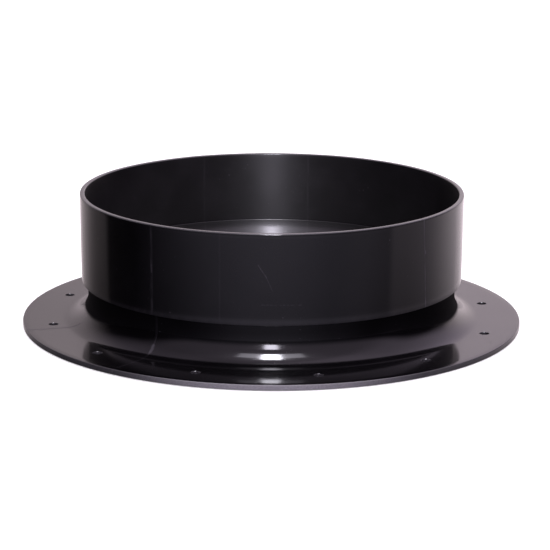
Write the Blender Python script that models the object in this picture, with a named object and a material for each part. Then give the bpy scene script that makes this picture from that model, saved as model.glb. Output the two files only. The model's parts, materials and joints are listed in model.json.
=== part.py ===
"""Chute flange for a toilet: a round collar on a wide mounting flange.

The flange and its neck are one sheet, drawn up around the bore. A cut length of pipe, the collar sleeve,
slips over the neck and is cemented there. +Z is the bore's axis, and the underside of the flange is z = 0.
"""

import math

import bmesh
import bpy
from mathutils import Matrix, Vector

# Collar sleeve: a cut length of pipe.
SLEEVE_RADIUS = 0.1619
SLEEVE_WALL = 0.0042
SLEEVE_LOW = 0.0381
SLEEVE_LENGTH = 0.0750
RIM_ROUND = 0.0010
CUT_END_ROUND = 0.0005

# Flange and neck: one formed sheet.
SHEET = 0.0046
FLANGE_RADIUS = 0.2127
FLANGE_EDGE_ROUND = 0.0008
FILLET_RADIUS = 0.0210
NECK_HEIGHT = 0.0520
BEVEL_LOW = 0.0355
BEVEL_HIGH = 0.0475
NECK_TIP = 0.0009
NECK_TIP_ROUND = 0.0003
BEVEL_EASE = 0.0280

# Screw holes through the flange.
HOLE_COUNT = 12
HOLE_RADIUS = 0.0040
HOLE_CIRCLE_RADIUS = 0.1880
FIRST_HOLE_FROM_FRONT = math.radians(11.5)

# Cement in the lap between neck and sleeve.
CEMENT_THICKNESS = 0.0003
JOINT_GAP = 0.0003
CEMENT_BEAD = 0.0010

# Fineness of the round shapes.
TURN_STEPS = 96
HOLE_SIDES = 20
STEPS_PER_QUARTER = 6
SMALL_ROUND = 0.0015
SMALL_ROUND_STEPS = 2
CUTTER_LENGTH = 0.0200
SHARP_ANGLE = math.radians(35)

SLEEVE_INSIDE = SLEEVE_RADIUS - SLEEVE_WALL
SLEEVE_TOP = SLEEVE_LOW + SLEEVE_LENGTH
CEMENT_OUTSIDE = SLEEVE_INSIDE - JOINT_GAP
CEMENT_INSIDE = CEMENT_OUTSIDE - CEMENT_THICKNESS
NECK_RADIUS = CEMENT_INSIDE - JOINT_GAP
NECK_INSIDE = NECK_RADIUS - SHEET


def remove_everything():
    """Empty the scene."""
    for item in list(bpy.data.objects):
        bpy.data.objects.remove(item, do_unlink=True)


def plastic(name, colour, roughness):
    """Return an opaque plastic material."""
    material = bpy.data.materials.new(name)
    material.use_nodes = True
    shader = material.node_tree.nodes["Principled BSDF"]
    shader.inputs["Base Color"].default_value = (*colour, 1.0)
    shader.inputs["Roughness"].default_value = roughness
    shader.inputs["Metallic"].default_value = 0.0
    return material


def corner_arc(before, corner, after, radius):
    """Return the points of the arc that rounds one corner of an outline."""
    to_before = (before - corner).normalized()
    to_after = (after - corner).normalized()
    half = to_before.angle(to_after) / 2
    setback = radius / math.tan(half)
    centre = corner + (to_before + to_after).normalized() * (radius / math.sin(half))
    start = corner + to_before * setback - centre
    turn = start.angle_signed(corner + to_after * setback - centre)
    if radius <= SMALL_ROUND:
        steps = SMALL_ROUND_STEPS
    else:
        steps = max(SMALL_ROUND_STEPS, round(STEPS_PER_QUARTER * abs(turn) / (math.pi / 2)))
    return [centre + Matrix.Rotation(-turn * i / steps, 2) @ start for i in range(steps + 1)]


def rounded_outline(corners):
    """Return the points of a closed outline from its (radius, height, rounding) corners."""
    points = []
    for index, (radius, height, rounding) in enumerate(corners):
        corner = Vector((radius, height))
        before = Vector(corners[index - 1][:2])
        after = Vector(corners[(index + 1) % len(corners)][:2])
        points += corner_arc(before, corner, after, rounding) if rounding else [corner]
    return points


def add_object(name, mesh, material):
    """Link a mesh into the scene as a smooth object with sharp creases."""
    mesh.materials.clear()
    mesh.materials.append(material)
    mesh.shade_smooth()
    mesh.set_sharp_from_angle(angle=SHARP_ANGLE)
    item = bpy.data.objects.new(name, mesh)
    bpy.context.scene.collection.objects.link(item)
    return item


def turned(name, corners, material):
    """Turn an outline around Z. Its corners run down the outside and up the inside."""
    bm = bmesh.new()
    ring = [bm.verts.new((p.x, 0, p.y)) for p in rounded_outline(corners)]
    edges = [bm.edges.new((a, b)) for a, b in zip(ring, ring[1:] + ring[:1])]
    bmesh.ops.spin(
        bm, geom=ring + edges, cent=(0, 0, 0), axis=(0, 0, 1),
        angle=math.tau, steps=TURN_STEPS, use_merge=True,
    )
    bmesh.ops.recalc_face_normals(bm, faces=bm.faces)
    mesh = bpy.data.meshes.new(name)
    bm.to_mesh(mesh)
    bm.free()
    return add_object(name, mesh, material)


def screw_hole_cutter(material):
    """Return one object that holds a round peg for each screw hole."""
    bm = bmesh.new()
    for index in range(HOLE_COUNT):
        angle = FIRST_HOLE_FROM_FRONT + math.tau * index / HOLE_COUNT
        place = Vector((math.sin(angle), -math.cos(angle), 0)) * HOLE_CIRCLE_RADIUS
        bmesh.ops.create_cone(
            bm, cap_ends=True, segments=HOLE_SIDES, radius1=HOLE_RADIUS, radius2=HOLE_RADIUS,
            depth=CUTTER_LENGTH, matrix=Matrix.Translation(place),
        )
    mesh = bpy.data.meshes.new("screw_hole_cutter")
    bm.to_mesh(mesh)
    bm.free()
    cutter = add_object("screw_hole_cutter", mesh, material)
    cutter.hide_render = True
    cutter.display_type = "WIRE"
    return cutter


def flange_with_neck():
    """Make the drilled flange with the neck drawn up from it in one piece.

    Both faces of the sheet bend about one centre, so its thickness is even. The end of the neck is
    bevelled on the inside, which leaves no ledge where it meets the sleeve.
    """
    material = plastic("flange_plastic", (0.016, 0.014, 0.016), 0.24)
    outline = [
        (NECK_RADIUS, NECK_HEIGHT, NECK_TIP_ROUND),
        (NECK_RADIUS, SHEET, FILLET_RADIUS),
        (FLANGE_RADIUS, SHEET, FLANGE_EDGE_ROUND),
        (FLANGE_RADIUS, 0, FLANGE_EDGE_ROUND),
        (NECK_INSIDE, 0, FILLET_RADIUS + SHEET),
        (NECK_INSIDE, BEVEL_LOW, BEVEL_EASE),
        (NECK_RADIUS - NECK_TIP, BEVEL_HIGH, BEVEL_EASE),
        (NECK_RADIUS - NECK_TIP, NECK_HEIGHT, NECK_TIP_ROUND),
    ]
    flange = turned("flange_with_neck", outline, material)
    holes = flange.modifiers.new("screw_holes", "BOOLEAN")
    holes.operation = "DIFFERENCE"
    holes.solver = "EXACT"
    holes.object = screw_hole_cutter(material)
    return flange


def collar_sleeve():
    """Make the length of pipe over the neck, with a rounded rim and a cut lower end."""
    outline = [
        (SLEEVE_RADIUS, SLEEVE_TOP, RIM_ROUND),
        (SLEEVE_RADIUS, SLEEVE_LOW, CUT_END_ROUND),
        (SLEEVE_INSIDE, SLEEVE_LOW, CUT_END_ROUND),
        (SLEEVE_INSIDE, SLEEVE_TOP, RIM_ROUND),
    ]
    return turned("collar_sleeve", outline, plastic("sleeve_plastic", (0.017, 0.015, 0.018), 0.26))


def lap_cement():
    """Make the film of solvent cement in the lap, with the bead squeezed out below the sleeve."""
    bead_outside = CEMENT_INSIDE + CEMENT_BEAD
    bead_top = SLEEVE_LOW - JOINT_GAP
    outline = [
        (CEMENT_OUTSIDE, NECK_HEIGHT - JOINT_GAP, 0),
        (CEMENT_OUTSIDE, bead_top, 0),
        (bead_outside, bead_top, 0),
        (CEMENT_INSIDE, bead_top - CEMENT_BEAD, 0),
        (CEMENT_INSIDE, NECK_HEIGHT - JOINT_GAP, 0),
    ]
    return turned("lap_cement", outline, plastic("cement", (0.010, 0.010, 0.011), 0.18))


remove_everything()
flange_with_neck()
collar_sleeve()
lap_cement()
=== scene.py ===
"""Looks of the toilet chute flange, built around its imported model.

Each CAD solid is replaced by a finer shell of the same shape with a worked surface: black ABS with draw
lines, scuffs and scratches. Azimuths are from the front (-Y), towards +X. Lengths are in metres.
"""

import json
import math

import bmesh
import bpy
import numpy as np
from mathutils import Matrix, Vector


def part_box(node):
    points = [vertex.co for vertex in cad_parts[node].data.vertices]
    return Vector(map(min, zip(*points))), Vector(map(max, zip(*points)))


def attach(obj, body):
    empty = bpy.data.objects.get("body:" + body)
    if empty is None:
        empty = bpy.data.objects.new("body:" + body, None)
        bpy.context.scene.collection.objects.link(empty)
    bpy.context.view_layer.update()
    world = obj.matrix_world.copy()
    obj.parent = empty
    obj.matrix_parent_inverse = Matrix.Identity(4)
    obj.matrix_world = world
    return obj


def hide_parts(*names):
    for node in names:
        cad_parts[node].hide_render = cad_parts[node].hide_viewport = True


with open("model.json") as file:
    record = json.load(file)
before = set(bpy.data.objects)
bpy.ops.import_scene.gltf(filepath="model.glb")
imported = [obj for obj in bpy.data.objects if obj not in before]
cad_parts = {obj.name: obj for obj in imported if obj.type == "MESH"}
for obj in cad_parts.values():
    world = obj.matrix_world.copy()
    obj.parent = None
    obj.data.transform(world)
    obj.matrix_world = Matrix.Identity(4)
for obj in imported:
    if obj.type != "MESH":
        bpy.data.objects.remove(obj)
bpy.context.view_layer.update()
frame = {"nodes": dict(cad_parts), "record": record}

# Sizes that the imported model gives.
MOUNTS = {mount["name"]: mount for mount in frame["record"]["mounts"]}
OPENINGS = frame["record"]["physics"]["openings"]


def radii(node):
    """Return the smallest and largest distance of a CAD node's points from the axis."""
    points = np.array([vertex.co for vertex in frame["nodes"][node].data.vertices])
    distance = np.hypot(points[:, 0], points[:, 1])
    return float(distance.min()), float(distance.max())


SLEEVE_INSIDE, SLEEVE_RADIUS = radii("collar_sleeve")
SLEEVE_LOW, SLEEVE_TOP = (corner.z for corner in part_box("collar_sleeve"))
NECK_INSIDE, FLANGE_RADIUS = radii("flange_with_neck")
NECK_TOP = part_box("flange_with_neck")[1].z
CEMENT_INSIDE, CEMENT_BEAD_RADIUS = radii("lap_cement")
CEMENT_LOW, CEMENT_TOP = (corner.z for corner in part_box("lap_cement"))
SHEET = MOUNTS["flange_top"]["pos_m"][2]
NECK_RADIUS = NECK_INSIDE + SHEET

# Fineness of the shells.
TURN_STEPS = 360
BIG_ROUND = 0.005
BIG_ROUND_STEPS = 20
SMALL_ROUND_STEPS = 6
LEAST_STEPS = 3
LONGEST_STEP = 0.006
HOLE_SIDES = 48
BEAD_STEPS = 5
SHARP_ANGLE = math.radians(32)
SAME_HEIGHT = 1e-7

# Outlines, as in the CAD.
FILLET_RADIUS = 0.021
EDGE_ROUND = 0.0008
RIM_ROUND = 0.0010
CUT_END_ROUND = 0.0005
NECK_TIP = 0.0009
NECK_TIP_ROUND = 0.0003
BEVEL_LOW = 0.0355
BEVEL_HIGH = 0.0475
BEVEL_EASE = 0.028
HOLE_RADIUS = 0.0040
CEMENT_FILM = 0.0003

# How far the real surfaces stray from those outlines. Each wave is (lobes, weight, phase).
FLANGE_LIFT = 0.00035
FLANGE_WAVES = [(2, 0.45, 0.6), (3, 0.30, 2.1), (5, 0.25, 4.0)]
OUT_OF_ROUND = 0.00012
SLEEVE_WAVES = [(2, 0.7, 1.1), (3, 0.3, 0.2)]
OVAL = 0.0011
RIM_WAVE = 0.00012
RIM_WAVES = [(2, 0.5, 2.0), (7, 0.3, 0.7), (13, 0.2, 3.0)]
RIM_WAVE_POWER = 8
SLEEVE_FLARE = 0.00022
FLARE_HEIGHT = 0.005
HOLE_CHAMFER = 0.00035
BEAD_SIZE = 0.75
BEAD_WAVES = [(5, 0.12, 0.3), (11, 0.12, 1.9), (23, 0.10, 0.4), (41, 0.08, 2.7)]

# Material slots of the flange: its own plastic, the drilled holes and the bevel in the bore.
DRILLED_SLOT = 1
BEVEL_SLOT = 2
FLANGE_SLOTS = 3
# Material slots of the sleeve: its own plastic and its inside.
INSIDE_SLOT = 1

# Camera, in the view of the catalogue picture.
CAMERA_DISTANCE = 2.0735
CAMERA_ELEVATION = math.radians(15.33)
CAMERA_ROLL = math.radians(0.32)
CAMERA_AIM = Vector((0.00295, 0.0, 0.0389))
CAMERA_LENS = 157.5
CAMERA_SENSOR = 36.0
CAMERA_CLIP = (0.1, 50.0)


# ---------------------------------------------------------------- shapes

def corner_arc(before, corner, after, radius):
    """Return the points of the arc that rounds one corner of an outline."""
    to_before = (before - corner).normalized()
    to_after = (after - corner).normalized()
    half = to_before.angle(to_after) / 2
    setback = radius / math.tan(half)
    centre = corner + (to_before + to_after).normalized() * (radius / math.sin(half))
    start = corner + to_before * setback - centre
    turn = start.angle_signed(corner + to_after * setback - centre)
    quarter_steps = BIG_ROUND_STEPS if radius > BIG_ROUND else SMALL_ROUND_STEPS
    steps = max(LEAST_STEPS, round(quarter_steps * abs(turn) / (math.pi / 2)))
    return [centre + Matrix.Rotation(-turn * i / steps, 2) @ start for i in range(steps + 1)]


def rounded_outline(corners):
    """Return the points of a closed outline from its (radius, height, rounding) corners."""
    points = []
    for index, (radius, height, rounding) in enumerate(corners):
        corner = Vector((radius, height))
        before = Vector(corners[index - 1][:2])
        after = Vector(corners[(index + 1) % len(corners)][:2])
        points += corner_arc(before, corner, after, rounding)
    return points


def refined(points, longest):
    """Split the outline's long stretches."""
    result = []
    for start, end in zip(points, points[1:] + points[:1]):
        pieces = max(1, math.ceil((end - start).length / longest))
        result += [start.lerp(end, i / pieces) for i in range(pieces)]
    return result


def waves(azimuth, terms):
    """Return a sum of cosines round the axis, from (lobes, weight, phase) terms."""
    return sum(weight * math.cos(lobes * azimuth + phase) for lobes, weight, phase in terms)


def turned_mesh(name, outline, bend):
    """Turn an outline round the axis into a closed mesh. bend(azimuth, radius, height) moves each point."""
    bm = bmesh.new()
    rings = []
    for step in range(TURN_STEPS):
        azimuth = math.tau * step / TURN_STEPS
        ring = []
        for point in outline:
            radius, height = bend(azimuth, point.x, point.y)
            ring.append(bm.verts.new((radius * math.sin(azimuth), -radius * math.cos(azimuth), height)))
        rings.append(ring)
    count = len(outline)
    for step, ring in enumerate(rings):
        beside = rings[(step + 1) % TURN_STEPS]
        for i in range(count):
            j = (i + 1) % count
            bm.faces.new((ring[i], ring[j], beside[j], beside[i]))
    bmesh.ops.recalc_face_normals(bm, faces=bm.faces)
    mesh = bpy.data.meshes.new(name)
    bm.to_mesh(mesh)
    bm.free()
    return mesh


def add_piece(name, mesh, materials, node):
    """Link a mesh as the piece that stands for a CAD node, smooth but for its sharp edges."""
    while len(mesh.materials) < len(materials):
        mesh.materials.append(None)
    for index, material in enumerate(materials):
        mesh.materials[index] = material
    mesh.shade_smooth()
    mesh.set_sharp_from_angle(angle=SHARP_ANGLE)
    piece = bpy.data.objects.new(name, mesh)
    bpy.context.scene.collection.objects.link(piece)
    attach(piece, "root")
    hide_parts(node)


def hole_centres():
    """Return the centre of each screw hole on the flange."""
    boxes = [Matrix(entry["box_m"]) for entry in OPENINGS if entry["name"].startswith("screw_hole")]
    return [(Vector(box[0]) + Vector(box[1])) / 2 for box in boxes]


def drill_mesh():
    """Model the drill bits: a peg for each hole, with a cone that leaves a small chamfer at its mouth."""
    mouth = SHEET + FLANGE_LIFT / 2
    rounds = [
        (HOLE_RADIUS, -SHEET),
        (HOLE_RADIUS, SHEET - HOLE_CHAMFER),
        (HOLE_RADIUS + HOLE_CHAMFER, mouth),
        (HOLE_RADIUS + 3 * HOLE_CHAMFER, mouth + 2 * HOLE_CHAMFER),
    ]
    bm = bmesh.new()
    for centre in hole_centres():
        loops = []
        for radius, height in rounds:
            loops.append([
                bm.verts.new((
                    centre.x + radius * math.cos(math.tau * i / HOLE_SIDES),
                    centre.y + radius * math.sin(math.tau * i / HOLE_SIDES),
                    height,
                ))
                for i in range(HOLE_SIDES)
            ])
        bm.faces.new(reversed(loops[0]))
        bm.faces.new(loops[-1])
        for lower, upper in zip(loops, loops[1:]):
            for i in range(HOLE_SIDES):
                j = (i + 1) % HOLE_SIDES
                bm.faces.new((lower[i], lower[j], upper[j], upper[i]))
    bmesh.ops.recalc_face_normals(bm, faces=bm.faces)
    for face in bm.faces:
        face.material_index = DRILLED_SLOT
    mesh = bpy.data.meshes.new("drill")
    bm.to_mesh(mesh)
    bm.free()
    return mesh


def drilled(mesh):
    """Return a mesh with the screw holes cut through it."""
    cutter = bpy.data.objects.new("drill", drill_mesh())
    blank = bpy.data.objects.new("blank", mesh)
    for item in (cutter, blank):
        while len(item.data.materials) < FLANGE_SLOTS:
            item.data.materials.append(None)
        bpy.context.scene.collection.objects.link(item)
    cut = blank.modifiers.new("holes", "BOOLEAN")
    cut.operation = "DIFFERENCE"
    cut.solver = "EXACT"
    cut.object = cutter
    evaluated = blank.evaluated_get(bpy.context.evaluated_depsgraph_get())
    result = bpy.data.meshes.new_from_object(evaluated)
    bpy.data.objects.remove(cutter, do_unlink=True)
    bpy.data.objects.remove(blank, do_unlink=True)
    return result


def flange_mesh():
    """Model the formed flange with its neck. Its rim lifts a little here and there, as formed sheet does."""
    outline = rounded_outline([
        (NECK_RADIUS, NECK_TOP, NECK_TIP_ROUND),
        (NECK_RADIUS, SHEET, FILLET_RADIUS),
        (FLANGE_RADIUS, SHEET, EDGE_ROUND),
        (FLANGE_RADIUS, 0, EDGE_ROUND),
        (NECK_INSIDE, 0, FILLET_RADIUS + SHEET),
        (NECK_INSIDE, BEVEL_LOW, BEVEL_EASE),
        (NECK_RADIUS - NECK_TIP, BEVEL_HIGH, BEVEL_EASE),
        (NECK_RADIUS - NECK_TIP, NECK_TOP, NECK_TIP_ROUND),
    ])
    flat_from = NECK_RADIUS + FILLET_RADIUS

    def bend(azimuth, radius, height):
        reach = max(0.0, (radius - flat_from) / (FLANGE_RADIUS - flat_from))
        ripple = (1 + waves(azimuth, FLANGE_WAVES)) / 2
        return radius, height + FLANGE_LIFT * ripple * reach * reach

    mesh = turned_mesh("flange_shell", refined(outline, LONGEST_STEP), bend)
    for face in mesh.polygons:
        faces_the_axis = face.normal.x * face.center.x + face.normal.y * face.center.y < 0
        if faces_the_axis and face.center.z > FILLET_RADIUS:
            face.material_index = BEVEL_SLOT
    return drilled(mesh)


def sleeve_mesh():
    """Model the pipe sleeve, a little oval towards its hand-cut rim."""
    outline = rounded_outline([
        (SLEEVE_RADIUS, SLEEVE_TOP, RIM_ROUND),
        (SLEEVE_RADIUS, SLEEVE_LOW, CUT_END_ROUND),
        (SLEEVE_INSIDE, SLEEVE_LOW, CUT_END_ROUND),
        (SLEEVE_INSIDE, SLEEVE_TOP, RIM_ROUND),
    ])
    length = SLEEVE_TOP - SLEEVE_LOW

    def bend(azimuth, radius, height):
        share = max(0.0, (height - SLEEVE_LOW) / length)
        swell = OUT_OF_ROUND * share * waves(azimuth, SLEEVE_WAVES)
        swell += OVAL * math.sqrt(share) * math.sin(azimuth) ** 2
        tilt = RIM_WAVE * share ** RIM_WAVE_POWER * waves(azimuth, RIM_WAVES)
        flare = SLEEVE_FLARE * max(0.0, (SLEEVE_LOW + FLARE_HEIGHT - height) / FLARE_HEIGHT) ** 2
        return radius + swell + flare, height + tilt

    mesh = turned_mesh("collar_shell", refined(outline, LONGEST_STEP / 2), bend)
    middle = (SLEEVE_INSIDE + SLEEVE_RADIUS) / 2
    for face in mesh.polygons:
        upright = abs(face.normal.z) < 0.5
        if upright and Vector(face.center[:2]).length < middle:
            face.material_index = INSIDE_SLOT
    return mesh


def cement_mesh():
    """Model the cement film and the uneven bead that it leaves below the sleeve."""
    bead = CEMENT_BEAD_RADIUS - CEMENT_INSIDE
    bead_top = CEMENT_LOW + bead
    film_outside = CEMENT_INSIDE + CEMENT_FILM
    turns = (math.pi / 2 * (1 - i / BEAD_STEPS) for i in range(BEAD_STEPS + 1))
    arc = [Vector((CEMENT_INSIDE + bead * math.sin(t), bead_top - bead * math.cos(t))) for t in turns]
    outline = [Vector((film_outside, CEMENT_TOP)), Vector((film_outside, bead_top)), *arc]
    outline.append(Vector((CEMENT_INSIDE, CEMENT_TOP)))

    def bend(azimuth, radius, height):
        if height >= bead_top - SAME_HEIGHT and radius <= film_outside + SAME_HEIGHT:
            return radius, height
        size = BEAD_SIZE + waves(azimuth, BEAD_WAVES)
        return CEMENT_INSIDE + (radius - CEMENT_INSIDE) * size, bead_top + (height - bead_top) * size

    return turned_mesh("cement_bead", outline, bend)


# ---------------------------------------------------------------- materials

BLACK = (0.0020, 0.0017, 0.0022)
INNER_BLACK = (0.0050, 0.0044, 0.0053)
BLOTCH_LIFT = 1.5
# The marks' colour: real wear, and a painted highlight in the rub on the flange's fillet.
WEAR_AND_HIGHLIGHT_COLOUR = (0.062, 0.057, 0.066)
SAWN_DARK = (0.110, 0.106, 0.114)
SAWN_PALE = (0.480, 0.465, 0.490)
DRILLED_DARK = (0.016, 0.015, 0.017)
DRILLED_PALE = (0.075, 0.071, 0.077)
CEMENT_DARK = (0.006, 0.006, 0.007)
CEMENT_PALE = (0.014, 0.013, 0.015)
FLOOR_COLOUR = (0.86, 0.86, 0.86)
GLOW_COLOUR = (1.0, 1.0, 1.0)

# The rings of the drilled holes and the flow of the cement.
RING_STRETCH = (0.2, 0.2, 1.0)
RING_SCALE = 2600.0
RING_ROUGHNESS = (0.16, 0.34)
RING_RELIEF = 0.00008
FLOW_SCALE = 320.0
FLOW_ROUGHNESS = (0.10, 0.28)
FLOW_RELIEF = 0.0003

# Where the blotches and the drill's rings turn from the dark colour to the pale one.
TONE_SPAN = (0.35, 0.7)
ROUGHNESS_SPAN = (0.3, 0.7)

# Noise scales of the plastic's blotches, haze, fine lines, orange peel and sawn grit.
BLOTCH_SCALE = 26.0
HAZE_SCALE = 9.0
LINE_SCALE = 420.0
PEEL_SCALE = 900.0
GRIT_SCALE = 1500.0

# Hair scratches: (turn of their direction, noise scale of each set). They lie thinly, in patches.
HAIR_SETS = [(0.35, 60.0), (-0.9, 80.0), (1.9, 70.0)]
HAIR_STRETCH = 0.035
HAIR_FINENESS = 8
HAIR_THRESHOLD = (0.75, 0.78)
HAIR_PATCH_SCALE = 0.35
HAIR_PATCH_THRESHOLD = (0.54, 0.72)

# Specks: small round nicks, where a noise allows them.
SPECK_SCALE = 130.0
SPECK_SIZE = (0.10, 0.05)
SPECK_CHANCE_SCALE = 75.0
SPECK_CHANCE = (0.66, 0.72)
FINE_WEAR = 0.45

# How roughness varies with each noise, and what wear and bare plastic do to it.
BLOTCH_ROUGHNESS = 0.10
HAZE_ROUGHNESS = 0.12
LINE_ROUGHNESS = 0.06
WEAR_ROUGHNESS = 0.25
BARE_ROUGHNESS = 0.68
WEAR_COAT_LOSS = -0.8

# Relief, in metres.
LINE_RELIEF = 0.000010
PEEL_RELIEF = 0.000003
BLOTCH_RELIEF = 0.000030
WEAR_RELIEF = -0.00002
RELIEF_STRENGTH = 0.6

# The wiped, dull neck: the height it starts from, how much lower it goes at the sides and how soft it ends.
DULL_FROM = 0.0235
DULL_DROP = 0.0085
DULL_DROP_SIDES = (math.radians(37), math.radians(72))
DULL_SOFT = (-0.0022, 0.0012)
DULL_FRONT = 0.42
DULL_FRONT_SPREAD = math.radians(34)
# The sawn edges: how far they reach in, and the painted highlight that makes the flange's edge paler at the
# front and darker away from it.
SAWN_REACH = (0.0009, 0.0003)
EDGE_HIGHLIGHT_SPREAD = (math.radians(4), math.radians(38))
EDGE_HIGHLIGHT_ASIDE = 0.16
RIM_REACH = (0.0011, 0.0003)
RIM_PALENESS = 0.20

# Directions of the fine lines, as the share of each axis that their noise sees.
WALL_LINES = (1, 1, 0.02)
BORE_LINES = (0.03, 0.03, 1.5)
FLANGE_LINES = 0.18

# The bore's turned surfaces stretch a reflection along the axis.
BORE_ANISOTROPY = 0.7
BORE_ANISOTROPY_TURN = 0.25


class Graph:
    """The nodes of a material or of the world, made and linked in one call each."""

    def __init__(self, owner):
        owner.use_nodes = True
        self.owner = owner
        self.tree = owner.node_tree

    def put(self, socket, value):
        """Link a node's output to a socket, or set a plain value on it."""
        if isinstance(value, bpy.types.NodeSocket):
            self.tree.links.new(value, socket)
        else:
            socket.default_value = value

    def surface(self, **values):
        """Link or set the inputs of a material's shader, named with _ for each space."""
        shader = self.tree.nodes["Principled BSDF"]
        for name, value in values.items():
            self.put(shader.inputs[name.replace("_", " ")], value)

    def node(self, kind, inputs=None, output=0, **settings):
        """Add a node and return its output."""
        node = self.tree.nodes.new(kind)
        for key, value in settings.items():
            setattr(node, key, value)
        for key, value in (inputs or {}).items():
            self.put(node.inputs[key], value)
        return node.outputs[output]

    def split(self, vector):
        """Add a Separate XYZ node and return its three outputs."""
        node = self.tree.nodes.new("ShaderNodeSeparateXYZ")
        self.put(node.inputs[0], vector)
        return node.outputs

    def math(self, operation, first, second=0.0, third=0.0, clamp=False):
        """Add a Math node."""
        inputs = {0: first, 1: second, 2: third}
        return self.node("ShaderNodeMath", inputs, operation=operation, use_clamp=clamp)

    def times(self, first, second, clamp=False):
        """Multiply two values."""
        return self.math("MULTIPLY", first, second, clamp=clamp)

    def vector(self, operation, first, second=(0, 0, 0), output="Vector"):
        """Add a Vector Math node."""
        return self.node("ShaderNodeVectorMath", {0: first, 1: second}, output, operation=operation)

    def scaled(self, vector, scale):
        """Scale a vector or a colour."""
        return self.node("ShaderNodeVectorMath", {0: vector, "Scale": scale}, operation="SCALE")

    def ramp(self, value, low, high, to_low=0.0, to_high=1.0):
        """Map a range of values smoothly to another."""
        inputs = {"Value": value, "From Min": low, "From Max": high, "To Min": to_low, "To Max": to_high}
        return self.node("ShaderNodeMapRange", inputs, interpolation_type="SMOOTHSTEP")

    def noise(self, vector, scale, detail=2.0, roughness=0.5, distortion=0.0):
        """Add a noise and return its value from 0 to 1."""
        inputs = {
            "Vector": vector, "Scale": scale, "Detail": detail, "Roughness": roughness,
            "Distortion": distortion,
        }
        return self.node("ShaderNodeTexNoise", inputs)

    def mix(self, share, first, second):
        """Mix two colours."""
        node = self.tree.nodes.new("ShaderNodeMix")
        node.data_type = "RGBA"
        share_input, first_input, second_input = node.inputs[0], node.inputs[6], node.inputs[7]
        self.put(share_input, share)
        self.put(first_input, first)
        self.put(second_input, second)
        return node.outputs[2]

    def bump(self, height, strength, distance=1.0):
        """Add a Bump node."""
        inputs = {"Height": height, "Strength": strength, "Distance": distance}
        return self.node("ShaderNodeBump", inputs)


def opaque(colour):
    """Return a colour with full alpha."""
    return (*colour, 1)


def place(graph):
    """Return position, azimuth, radius and height sockets on a turned piece."""
    position = graph.node("ShaderNodeTexCoord", output="Object")
    x, y, height = graph.split(position)
    radius = graph.vector("LENGTH", graph.vector("MULTIPLY", position, (1, 1, 0)), output="Value")
    azimuth = graph.math("ARCTAN2", x, graph.times(y, -1.0))
    return position, azimuth, radius, height


def line_up(graph, spot, degrees, width, lean=0.0):
    """Return the mask of a thin mark that runs up the wall and out over the flange at one azimuth."""
    azimuth, radius, height = spot
    offset = graph.math("SUBTRACT", azimuth, math.radians(degrees))
    if lean:
        offset = graph.math("SUBTRACT", offset, graph.times(height, lean))
    across = graph.math("ABSOLUTE", graph.times(offset, radius))
    return graph.ramp(across, width, width * 0.3)


def scratch(graph, spot, start, end, width):
    """Return the mask of a straight scratch on the wall between two (degrees, height) points."""
    azimuth, _, height = spot
    here = graph.node("ShaderNodeCombineXYZ", {0: graph.times(azimuth, SLEEVE_RADIUS), 1: height})
    a = Vector((math.radians(start[0]) * SLEEVE_RADIUS, start[1], 0))
    b = Vector((math.radians(end[0]) * SLEEVE_RADIUS, end[1], 0))
    run = b - a
    from_start = graph.vector("SUBTRACT", here, a)
    along = graph.vector("DOT_PRODUCT", from_start, run / run.length_squared, "Value")
    nearest = graph.scaled(run, graph.times(along, 1.0, clamp=True))
    distance = graph.vector("LENGTH", graph.vector("SUBTRACT", from_start, nearest), output="Value")
    return graph.ramp(distance, width, width * 0.2)


def strongest(graph, masks):
    """Return the largest of several masks."""
    result = masks[0]
    for mask in masks[1:]:
        result = graph.math("MAXIMUM", result, mask)
    return result


def worn(graph, mask, along, scale, low, high, least, strength):
    """Break a mark up with a noise along its length, where the noise passes from low to high."""
    first, second = along
    noise = graph.noise(graph.node("ShaderNodeCombineXYZ", {0: first, 1: second}), scale, 2.0)
    return graph.times(graph.times(mask, graph.ramp(noise, low, high, least, 1.0)), strength)


def hair_scratches(graph, position):
    """Return the mask of fine straight scratches in three directions."""
    sets = []
    for turn, scale in HAIR_SETS:
        tilted = graph.node("ShaderNodeMapping", {
            "Vector": position,
            "Rotation": (turn, 0.6 * turn, 1.3 * turn),
            "Scale": (1.0, HAIR_STRETCH, 1.0),
        })
        strand = graph.noise(tilted, scale * HAIR_FINENESS, 1.0, 0.4)
        patch = graph.ramp(graph.noise(position, scale * HAIR_PATCH_SCALE, 1.0), *HAIR_PATCH_THRESHOLD)
        sets.append(graph.times(graph.ramp(strand, *HAIR_THRESHOLD), patch))
    return strongest(graph, sets)


def specks(graph, position):
    """Return the mask of small nicks."""
    cells = graph.node("ShaderNodeTexVoronoi", {"Vector": position, "Scale": SPECK_SCALE}, "Distance")
    chance = graph.ramp(graph.noise(position, SPECK_CHANCE_SCALE, 0.0), *SPECK_CHANCE)
    return graph.times(graph.ramp(cells, *SPECK_SIZE), chance)


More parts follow.
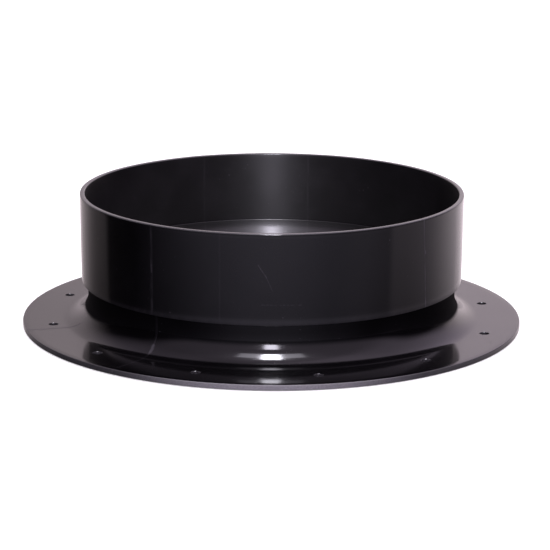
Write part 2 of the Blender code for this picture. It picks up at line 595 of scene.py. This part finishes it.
def plastic(name, marks, fine_lines, colour, roughness, specular, coat, coat_roughness, zones=None):
    """Return worn black ABS.

    marks(graph, spot) gives the mask of its larger marks, fine_lines(graph, position) the coordinates
    along which its fine lines run, and zones(graph, spot) the masks of the parts that are dull and of
    those that are sawn. A spot is the azimuth, radius and height of a point.
    """
    graph = Graph(bpy.data.materials.new(name))
    position, *spot = place(graph)
    blotch = graph.noise(position, BLOTCH_SCALE, 3.0, 0.55)
    haze = graph.noise(position, HAZE_SCALE, 2.0, 0.5, 0.6)
    lines = graph.noise(fine_lines(graph, position), LINE_SCALE, 3.0, 0.6)
    peel = graph.noise(position, PEEL_SCALE)

    fine = strongest(graph, [hair_scratches(graph, position), specks(graph, position)])
    wear_and_highlight = strongest(graph, [graph.times(fine, FINE_WEAR, clamp=True), marks(graph, spot)])
    lighter = [part * BLOTCH_LIFT for part in colour]
    tone = graph.mix(graph.ramp(blotch, *TONE_SPAN), opaque(colour), opaque(lighter))
    # The marks' lighter colour is real wear, and on the flange's fillet it is a painted highlight.
    tone = graph.mix(wear_and_highlight, tone, opaque(WEAR_AND_HIGHLIGHT_COLOUR))
    coated = graph.times(graph.math("MULTIPLY_ADD", wear_and_highlight, WEAR_COAT_LOSS, 1.0), coat)

    gloss = roughness
    for noise, reach in ((blotch, BLOTCH_ROUGHNESS), (haze, HAZE_ROUGHNESS), (lines, LINE_ROUGHNESS)):
        gloss = graph.math("MULTIPLY_ADD", graph.math("SUBTRACT", noise, 0.5), reach, gloss)
    gloss = graph.math("MULTIPLY_ADD", wear_and_highlight, WEAR_ROUGHNESS, gloss, clamp=True)
    if zones:
        dull, sawn = zones(graph, spot)
        grit = graph.noise(position, GRIT_SCALE)
        # On the flange the sawn mask also holds a painted highlight, paler at the front.
        tone = graph.mix(sawn, tone, graph.mix(grit, opaque(SAWN_DARK), opaque(SAWN_PALE)))
        bare = graph.math("MAXIMUM", dull, sawn)
        gloss = graph.math("MAXIMUM", gloss, graph.times(bare, BARE_ROUGHNESS))
        coated = graph.times(coated, graph.math("SUBTRACT", 1.0, bare))

    relief = graph.math("MULTIPLY_ADD", lines, LINE_RELIEF, graph.times(peel, PEEL_RELIEF))
    relief = graph.math("MULTIPLY_ADD", blotch, BLOTCH_RELIEF, relief)
    relief = graph.math("MULTIPLY_ADD", wear_and_highlight, WEAR_RELIEF, relief)
    graph.surface(Base_Color=tone, Roughness=gloss, Normal=graph.bump(relief, RELIEF_STRENGTH))
    graph.surface(Specular_IOR_Level=specular, Coat_Weight=coated, Coat_Roughness=coat_roughness)
    return graph.owner


def bore_plastic(name, *looks):
    """Return the worn plastic of the bore, which a turned surface streaks along the axis."""
    material = plastic(name, inner_marks, lines_round_the_axis, *looks)
    inputs = material.node_tree.nodes["Principled BSDF"].inputs
    inputs["Anisotropic"].default_value = BORE_ANISOTROPY
    inputs["Anisotropic Rotation"].default_value = BORE_ANISOTROPY_TURN
    return material


def sleeve_marks(graph, spot):
    """Return the sleeve's marks: lines up the wall, a long bent scratch, a scuff and a smeared low end."""
    azimuth, _, height = spot
    up = (azimuth, height)
    left = line_up(graph, spot, -36.4, 0.0017)
    leaning = line_up(graph, spot, 52.0, 0.0009, lean=-0.43)
    middle = line_up(graph, spot, -14.7, 0.0011)
    nick = scratch(graph, spot, (50.3, 0.0840), (50.2, 0.0860), 0.0011)
    left_nick = scratch(graph, spot, (-36.4, 0.0740), (-36.4, 0.0800), 0.0011)
    bent = strongest(graph, [
        scratch(graph, spot, (-3.8, 0.088), (-1.9, 0.080), 0.0006),
        scratch(graph, spot, (-1.9, 0.080), (-1.4, 0.0776), 0.0008),
        graph.times(scratch(graph, spot, (-1.4, 0.0776), (0.3, 0.067), 0.0005), 0.5),
    ])
    scuff = scratch(graph, spot, (-2.8, 0.0555), (8.3, 0.0552), 0.0009)
    smear = graph.ramp(height, SLEEVE_LOW + 0.0050, SLEEVE_LOW + 0.0015)
    return strongest(graph, [
        worn(graph, left, up, 45.0, 0.40, 0.62, 0.15, 0.28),
        worn(graph, leaning, up, 60.0, 0.35, 0.62, 0.1, 0.9),
        worn(graph, middle, up, 80.0, 0.35, 0.65, 0.4, 0.09),
        nick,
        graph.times(left_nick, 0.4),
        worn(graph, bent, up, 300.0, 0.35, 0.6, 0.3, 0.65),
        worn(graph, scuff, up, 120.0, 0.4, 0.6, 0.1, 0.2),
        worn(graph, smear, up, 25.0, 0.3, 0.7, 0.5, 0.16),
    ])


def inner_marks(graph, spot):
    """Return the marks inside the sleeve: two faint lines down the wall."""
    azimuth, _, height = spot
    lines = [line_up(graph, spot, 168.0, 0.0012), line_up(graph, spot, -157.0, 0.0010)]
    return worn(graph, strongest(graph, lines), (azimuth, height), 60.0, 0.35, 0.65, 0.2, 0.12)


def flange_marks(graph, spot):
    """Return the flange's marks: a draw line over the fillet, one on the flat, and a lighter rub on the
    first that paints a highlight on the fillet.
    """
    azimuth, radius, height = spot
    out = (azimuth, radius)
    long = line_up(graph, spot, -36.2, 0.0012)
    flat = line_up(graph, spot, -74.3, 0.0022)
    flat = graph.times(flat, graph.ramp(height, SHEET + 0.0050, SHEET + 0.0010))
    return strongest(graph, [
        worn(graph, long, out, 90.0, 0.40, 0.62, 0.15, 0.30),
        worn(graph, flat, out, 90.0, 0.30, 0.60, 0.6, 0.55),
        # Painted highlight: a lighter rub on the fillet, where a patch of light falls.
        scratch(graph, spot, (-36.0, 0.0085), (-36.2, 0.0125), 0.0022),
    ])


def flange_zones(graph, spot):
    """Return the flange's dull zone, where cement was wiped round the neck, and its sawn edge.

    The wipe went lower at the sides and left some gloss at the front. The sawn edge is paler at the front, a
    painted highlight, and darker away from it.
    """
    azimuth, radius, height = spot
    aside = graph.math("ABSOLUTE", azimuth)
    level = graph.math("ADD", height, graph.ramp(aside, *DULL_DROP_SIDES, 0.0, DULL_DROP))
    dull = graph.ramp(level, *(DULL_FROM + soft for soft in DULL_SOFT))
    dull = graph.times(dull, graph.ramp(aside, 0.0, DULL_FRONT_SPREAD, DULL_FRONT, 1.0))
    sawn = graph.ramp(radius, *(FLANGE_RADIUS - reach for reach in SAWN_REACH))
    # Painted highlight: the sawn edge is paler at the front and darker away from it.
    sawn = graph.times(sawn, graph.ramp(aside, *EDGE_HIGHLIGHT_SPREAD, 1.0, EDGE_HIGHLIGHT_ASIDE))
    return dull, sawn


def sleeve_zones(graph, spot):
    """Return the sleeve's dull parts, of which it has none, and its rim, paler where the saw cut it."""
    height = spot[2]
    return 0.0, graph.ramp(height, *(SLEEVE_TOP - reach for reach in RIM_REACH), 0.0, RIM_PALENESS)


def lines_up_the_wall(graph, position):
    """Return coordinates that hardly change with height, for lines left by the pipe's extrusion."""
    return graph.vector("MULTIPLY", position, WALL_LINES)


def lines_round_the_axis(graph, position):
    """Return coordinates that change mostly with height, for fine lines round the bore."""
    return graph.vector("MULTIPLY", position, BORE_LINES)


def lines_out_from_the_axis(graph, position):
    """Return coordinates that change only round the axis, for lines drawn out from the neck."""
    flat = graph.vector("MULTIPLY", position, (1, 1, 0))
    return graph.scaled(graph.vector("NORMALIZE", flat), FLANGE_LINES)


def drilled_plastic():
    """Return the paler plastic that a drill leaves, with its fine rings."""
    graph = Graph(bpy.data.materials.new("drilled_plastic"))
    position = graph.node("ShaderNodeTexCoord", output="Object")
    rings = graph.noise(graph.vector("MULTIPLY", position, RING_STRETCH), RING_SCALE)
    tone = graph.mix(graph.ramp(rings, *TONE_SPAN), opaque(DRILLED_DARK), opaque(DRILLED_PALE))
    gloss = graph.ramp(rings, *ROUGHNESS_SPAN, *RING_ROUGHNESS)
    graph.surface(Base_Color=tone, Roughness=gloss, Normal=graph.bump(rings, 0.3, RING_RELIEF))
    return graph.owner


def cement_material():
    """Return glossy black cement."""
    graph = Graph(bpy.data.materials.new("cement"))
    position = graph.node("ShaderNodeTexCoord", output="Object")
    flow = graph.noise(position, FLOW_SCALE, 3.0, 0.5, 0.4)
    tone = graph.mix(flow, opaque(CEMENT_DARK), opaque(CEMENT_PALE))
    gloss = graph.ramp(flow, *ROUGHNESS_SPAN, *FLOW_ROUGHNESS)
    graph.surface(Base_Color=tone, Roughness=gloss, Normal=graph.bump(flow, 0.4, FLOW_RELIEF))
    return graph.owner


# ---------------------------------------------------------------- stage

# The studio's soft cards: azimuth of the middle, half width and soft edge in degrees, strength, and tint.
LOW_CARDS = [
    (0, 92, 88, 0.40, (0.97, 0.90, 1.13)),
    (110, 80, 30, 0.15, (1.02, 0.91, 1.07)),
    (137, 65, 6, 0.20, (1.06, 0.92, 1.02)),
    (150, 50, 30, 0.20, (1.08, 0.95, 0.95)),
    (-165, 53, 6, 0.14, (1.08, 0.93, 0.98)),
    (-172, 44, 36, 0.30, (1.08, 0.94, 0.98)),
]
HIGH_CARDS = [
    (157, 31, 11, 0.36, (1.08, 0.94, 0.99)),
    (180, 66, 42, 0.51, (1.08, 0.93, 1.00)),
    (0, 75, 50, 0.13, (0.97, 0.90, 1.13)),
]
# The low cards brighten upwards, between these elevations in degrees, and give way to the high ones.
LOW_CARDS_RISE = (-16.4, -12.4)
LOW_CARDS_LEVELS = (0.70, 1.45)
LOW_TO_HIGH = (-10, -5)
# The ceiling starts between these elevations. Its sine starts lower by a lift ahead and at the right.
CEILING_START = (22, 50)
CEILING = 0.50
ZENITH = 0.62
ZENITH_START = (52, 68)
CEILING_TINT = (1.06, 0.90, 1.13)
AHEAD_FROM_LEFT = (-92, -45)
AHEAD_FROM_RIGHT = (115, 60)
AHEAD_LIFT = 0.42
RIGHT_SIDE = (85, 125)
RIGHT_LIFT = 0.24
BRIGHT_RIGHT = (55, 85)
BRIGHT_RIGHT_GAIN = 1.5
DIM_LEFT = (-80, -25)
DIM_LEFT_GAIN = 0.75

FLOOR_RADIUS = 8.0
FLOOR_HEIGHT = -0.0003
FLOOR_GLOW = 0.45
SHADE_HEIGHT = -0.0002
BORE_SHADE = 0.10
DISC_SIDES = 96
LAMPS_AIM = Vector((0, 0, 0.05))


def sine(degrees):
    """Return the sine of an elevation."""
    return math.sin(math.radians(degrees))


def ring_of_cards(graph, azimuth, cards):
    """Return the colour that a ring of cards gives at an azimuth."""
    total = None
    for middle, half_width, soft, strength, tint in cards:
        turned = graph.math("SUBTRACT", azimuth, math.radians(middle))
        away = graph.math("ABSOLUTE", graph.math("WRAP", turned, math.pi, -math.pi))
        share = graph.ramp(away, math.radians(half_width), math.radians(half_width - soft))
        card = graph.scaled([strength * part for part in tint], share)
        total = card if total is None else graph.vector("ADD", total, card)
    return total


def add_world():
    """Surround the object with the studio's cards, under a ceiling that starts lower ahead and right."""
    world = bpy.data.worlds.new("studio")
    bpy.context.scene.world = world
    graph = Graph(world)
    x, y, z = graph.split(graph.node("ShaderNodeTexCoord", output="Generated"))
    azimuth = graph.math("ARCTAN2", x, graph.times(y, -1.0))

    def round_ramp(limits, to_low=0.0, to_high=1.0):
        return graph.ramp(azimuth, *(math.radians(limit) for limit in limits), to_low, to_high)

    def rising_ramp(value, limits, to_low=0.0, to_high=1.0):
        return graph.ramp(value, *(sine(limit) for limit in limits), to_low, to_high)

    low = ring_of_cards(graph, azimuth, LOW_CARDS)
    low = graph.scaled(low, rising_ramp(z, LOW_CARDS_RISE, *LOW_CARDS_LEVELS))
    high = ring_of_cards(graph, azimuth, HIGH_CARDS)
    colour = graph.mix(rising_ramp(z, LOW_TO_HIGH), low, high)
    ahead = graph.times(round_ramp(AHEAD_FROM_LEFT), round_ramp(AHEAD_FROM_RIGHT))
    level = graph.math("MULTIPLY_ADD", ahead, AHEAD_LIFT, z)
    level = graph.math("ADD", level, round_ramp(RIGHT_SIDE, 0.0, RIGHT_LIFT))
    bright = rising_ramp(z, ZENITH_START, CEILING, ZENITH)
    bright = graph.times(bright, round_ramp(BRIGHT_RIGHT, 1.0, BRIGHT_RIGHT_GAIN))
    bright = graph.times(bright, round_ramp(DIM_LEFT, DIM_LEFT_GAIN, 1.0))
    ceiling = graph.scaled(CEILING_TINT, bright)
    colour = graph.mix(rising_ramp(level, CEILING_START), colour, ceiling)
    graph.put(graph.tree.nodes["Background"].inputs["Color"], colour)


def disc(name, radius, height, material):
    """Add a flat round sheet to the stage."""
    bm = bmesh.new()
    bmesh.ops.create_circle(bm, cap_ends=True, segments=DISC_SIDES, radius=radius)
    mesh = bpy.data.meshes.new(name)
    bm.to_mesh(mesh)
    bm.free()
    mesh.materials.append(material)
    item = bpy.data.objects.new(name, mesh)
    item.location.z = height
    bpy.context.scene.collection.objects.link(item)
    return item


def add_floor():
    """Lay a plain pale floor, which glows a little and which the plastic doesn't mirror."""
    graph = Graph(bpy.data.materials.new("floor"))
    graph.surface(Base_Color=opaque(FLOOR_COLOUR), Roughness=0.9, Specular_IOR_Level=0.1)
    graph.surface(Emission_Color=opaque(GLOW_COLOUR), Emission_Strength=FLOOR_GLOW)
    floor = disc("floor", FLOOR_RADIUS, FLOOR_HEIGHT, graph.owner)
    floor.visible_glossy = False
    floor.visible_diffuse = False


def add_bore_shade():
    """Lay a sheet under the bore that only reflections see, for the dim floor inside the flange."""
    graph = Graph(bpy.data.materials.new("bore_shade"))
    graph.surface(Base_Color=(0, 0, 0, 1), Specular_IOR_Level=0)
    graph.surface(Emission_Color=opaque(GLOW_COLOUR), Emission_Strength=BORE_SHADE)
    sheet = disc("bore_shade", NECK_INSIDE, SHADE_HEIGHT, graph.owner)
    sheet.visible_camera = False
    sheet.visible_diffuse = False
    sheet.visible_shadow = False
    sheet.visible_transmission = False


def area_light(name, elevation, distance, size, power, colour=(1, 1, 1)):
    """Add a soft light at the front, facing the object. Elevation is in degrees, and size (wide, high)."""
    data = bpy.data.lights.new(name, "AREA")
    data.shape = "RECTANGLE"
    data.size, data.size_y = size
    data.energy = power
    data.color = colour
    light = bpy.data.objects.new(name, data)
    direction = Vector((0, -math.cos(math.radians(elevation)), sine(elevation)))
    light.location = direction * distance + LAMPS_AIM
    light.rotation_mode = "QUATERNION"
    light.rotation_quaternion = direction.to_track_quat("Z", "Y")
    bpy.context.scene.collection.objects.link(light)
    return light


def add_lights():
    """Light the front and the top. The two overhead lamps are only for the bars of light on the fillet."""
    area_light("front_lamp", 15.0, 2.4, (0.32, 0.80), 17, (0.91, 0.86, 1.0))
    lamp = area_light("overhead_lamp", 56, 1.8, (0.26, 0.75), 33, (0.92, 0.90, 1.0))
    lamp.visible_diffuse = False
    strip = area_light("overhead_strip", 52, 1.85, (1.0, 0.60), 7, (0.92, 0.88, 1.0))
    strip.visible_diffuse = False
    top = area_light("soft_top", 90, 3.0, (4.0, 4.0), 95)
    top.visible_glossy = False


def add_camera():
    """Add the camera, at the picture's viewing angle."""
    data = bpy.data.cameras.new("camera")
    data.lens = CAMERA_LENS
    data.sensor_width = CAMERA_SENSOR
    data.clip_start, data.clip_end = CAMERA_CLIP
    camera = bpy.data.objects.new("camera", data)
    back = Vector((0, -math.cos(CAMERA_ELEVATION), math.sin(CAMERA_ELEVATION)))
    camera.location = back * CAMERA_DISTANCE
    sight = (camera.location - CAMERA_AIM).to_track_quat("Z", "Y")
    camera.rotation_mode = "QUATERNION"
    camera.rotation_quaternion = sight @ Matrix.Rotation(CAMERA_ROLL, 3, "Z").to_quaternion()
    bpy.context.scene.collection.objects.link(camera)
    bpy.context.scene.camera = camera


bpy.context.scene.view_settings.view_transform = "Standard"
add_camera()
add_world()
add_floor()
add_bore_shade()
add_lights()

# After the name, marks and fine lines: colour, roughness, specular level, coat, coat roughness and zones.
flange_plastic = plastic(
    "flange_plastic", flange_marks, lines_out_from_the_axis,
    BLACK, 0.36, 0.03, 1.0, 0.11, flange_zones,
)
bevel_plastic = bore_plastic("bevel_plastic", BLACK, 0.36, 0.8, 0.9, 0.20)
sleeve_plastic = plastic(
    "sleeve_plastic", sleeve_marks, lines_up_the_wall,
    BLACK, 0.38, 0.12, 0.85, 0.08, sleeve_zones,
)
inner_plastic = bore_plastic("inner_plastic", INNER_BLACK, 0.36, 0.50, 0.0, 0.1)

flange_materials = [flange_plastic, drilled_plastic(), bevel_plastic]
add_piece("flange_shell", flange_mesh(), flange_materials, "flange_with_neck")
sleeve_materials = [sleeve_plastic, inner_plastic]
add_piece("collar_shell", sleeve_mesh(), sleeve_materials, "collar_sleeve")
add_piece("cement_bead", cement_mesh(), [cement_material()], "lap_cement")
